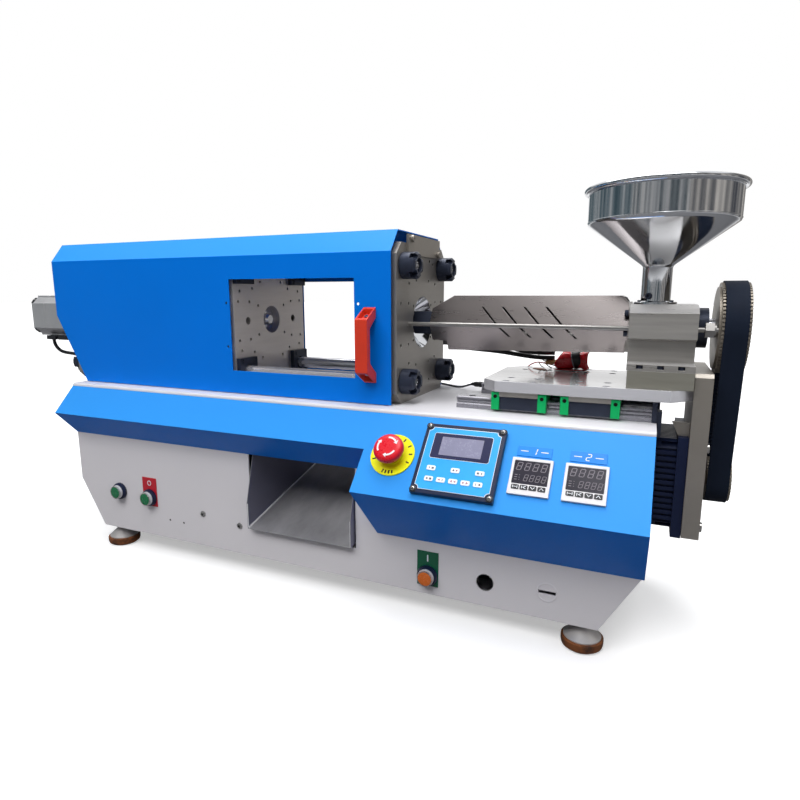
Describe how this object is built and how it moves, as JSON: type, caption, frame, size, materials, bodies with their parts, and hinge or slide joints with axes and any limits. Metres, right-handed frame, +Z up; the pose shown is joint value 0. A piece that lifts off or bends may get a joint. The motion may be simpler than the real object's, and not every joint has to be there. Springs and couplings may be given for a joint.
{
  "type": "desktop injection moulding machine",
  "caption": "Benchtop plastic injection moulding machine: cabinet on feet, hooded screw-driven clamp with tie bars, railed carriage with heated barrel, hopper and belt drive.",
  "frame": {"origin": "under the middle of the whole machine, on the surface that it stands on", "axes": "+X along the mould axis from the clamp motor to the belt drive, +Y from the operator's side to the back, +Z up"},
  "size_m": [1.28, 0.3474, 0.5866],
  "materials": {
    "cabinet_paint": "satin powder coat",
    "deck_paint": "satin powder coat",
    "blue_paint": "satin powder coat",
    "stainless_sheet": "brushed",
    "ground_steel": "ground",
    "bright_steel": "bright",
    "polished_steel": "polished",
    "black_oxide": "black oxide, satin",
    "motor_black": "satin black",
    "alu": "machined",
    "alu_cast": "cast, satin",
    "black_plastic": "matte",
    "cable_black": "satin",
    "belt_rubber": "matte",
    "pad_rubber": "brown, worn",
    "nylon": "matte",
    "bronze": "machined",
    "handle_orange": "gloss",
    "green_plastic": "matte",
    "boot_red": "satin",
    "label_blue": "printed film",
    "panel_black": "gloss",
    "controller_white": "gloss",
    "button_green": "gloss",
    "button_orange": "gloss",
    "estop_yellow": "gloss",
    "estop_red": "gloss"
  },
  "bodies": {
    "frame": {"base_cabinet": "cabinet_paint", "deck_plate": "deck_paint", "console_cover": "blue_paint", "chute": "stainless_sheet", "levelling_feet": "bright_steel", "foot_pads": "pad_rubber", "drive_units": "black_plastic", "fixed_platen": "ground_steel", "platen_end_plate": "alu", "rear_platen": "ground_steel", "tie_bars": "bright_steel", "tie_bar_nuts": "black_oxide", "screw_bearing": "alu", "motor_bracket": "alu_cast", "clamp_motor": "alu_cast", "motor_fittings": "black_plastic", "motor_lead": "cable_black", "hood_runners": "nylon", "linear_rails": "bright_steel", "rail_stops": "black_oxide", "pull_rods": "bright_steel", "sensor_lead": "cable_black", "panel_plates": "label_blue", "control_panel": "panel_black", "temperature_controllers": "controller_white", "button_bezels": "alu", "estop_base": "estop_yellow"},
    "hood_unit": {"hood": "blue_paint", "hood_handle": "handle_orange"},
    "moving_platen_unit": {"moving_platen": "ground_steel", "bush_retainers": "black_oxide", "guide_bushes": "bronze", "ball_nut": "bright_steel"},
    "clamp_screw": {"ball_screw": "bright_steel", "shaft_coupling": "alu"},
    "carriage": {"guide_blocks": "black_oxide", "block_end_caps": "green_plastic", "carriage_plate": "ground_steel", "riser_block": "ground_steel", "feed_block": "ground_steel", "barrel": "ground_steel", "heater_bands": "stainless_sheet", "heater_cover": "stainless_sheet", "carriage_screws": "black_oxide", "nozzle": "black_oxide", "thrust_housing": "black_oxide", "hopper": "polished_steel", "motor_plate": "alu", "injection_motor": "motor_black", "drive_belt": "belt_rubber", "heater_leads": "cable_black", "terminal_boot": "boot_red"},
    "injection_screw": {"plasticising_screw": "bright_steel", "screw_pulley": "alu"},
    "motor_shaft": {"motor_pulley": "alu"},
    "left_button_cap": {"left_button": "button_green"},
    "middle_button_cap": {"middle_button": "button_green"},
    "right_button_cap": {"right_button": "button_orange"},
    "estop_plunger": {"estop_stem": "black_plastic"},
    "estop_mushroom": {"estop_head": "estop_red"}
  },
  "joints": [
    {"name": "hood_slide", "type": "slide", "parent": "frame", "child": "hood_unit", "axis": [-1, 0, 0], "range_m": [0, 0.2]},
    {"name": "platen_slide", "type": "slide", "parent": "frame", "child": "moving_platen_unit", "axis": [1, 0, 0], "range_m": [0, 0.14]},
    {"name": "clamp_screw_spin", "type": "hinge", "parent": "frame", "child": "clamp_screw", "pos_m": [-0.241, 0.03875, 0.4105], "axis": [1, 0, 0], "continuous": true},
    {"name": "carriage_slide", "type": "slide", "parent": "frame", "child": "carriage", "axis": [1, 0, 0], "range_m": [0, 0.0076]},
    {"name": "screw_spin", "type": "hinge", "parent": "carriage", "child": "injection_screw", "pos_m": [0.609, 0.03875, 0.4105], "axis": [1, 0, 0], "continuous": true},
    {"name": "motor_spin", "type": "hinge", "parent": "carriage", "child": "motor_shaft", "pos_m": [0.609, 0.03875, 0.214], "axis": [1, 0, 0], "continuous": true},
    {"name": "left_button_press", "type": "slide", "parent": "frame", "child": "left_button_cap", "axis": [0, 1, 0], "range_m": [0, 0.003], "stiffness_N_per_m": 400, "springref_m": -0.001},
    {"name": "middle_button_press", "type": "slide", "parent": "frame", "child": "middle_button_cap", "axis": [0, 1, 0], "range_m": [0, 0.003], "stiffness_N_per_m": 400, "springref_m": -0.001},
    {"name": "right_button_press", "type": "slide", "parent": "frame", "child": "right_button_cap", "axis": [0, 1, 0], "range_m": [0, 0.003], "stiffness_N_per_m": 400, "springref_m": -0.001},
    {"name": "estop_press", "type": "slide", "parent": "frame", "child": "estop_plunger", "axis": [0, 0.7314, -0.682], "range_m": [0, 0.004]},
    {"name": "estop_release", "type": "hinge", "parent": "estop_plunger", "child": "estop_mushroom", "pos_m": [0.2355, -0.14816, 0.2603], "axis": [0, -0.7314, 0.682], "range_deg": [-45, 0], "stiffness_Nm_per_rad": 0.05}
  ],
  "couplings": [
    {"joint": "clamp_screw_spin", "follows": "platen_slide", "rad_per_m": -628.32},
    {"joint": "motor_spin", "follows": "screw_spin", "ratio": 2}
  ]
}
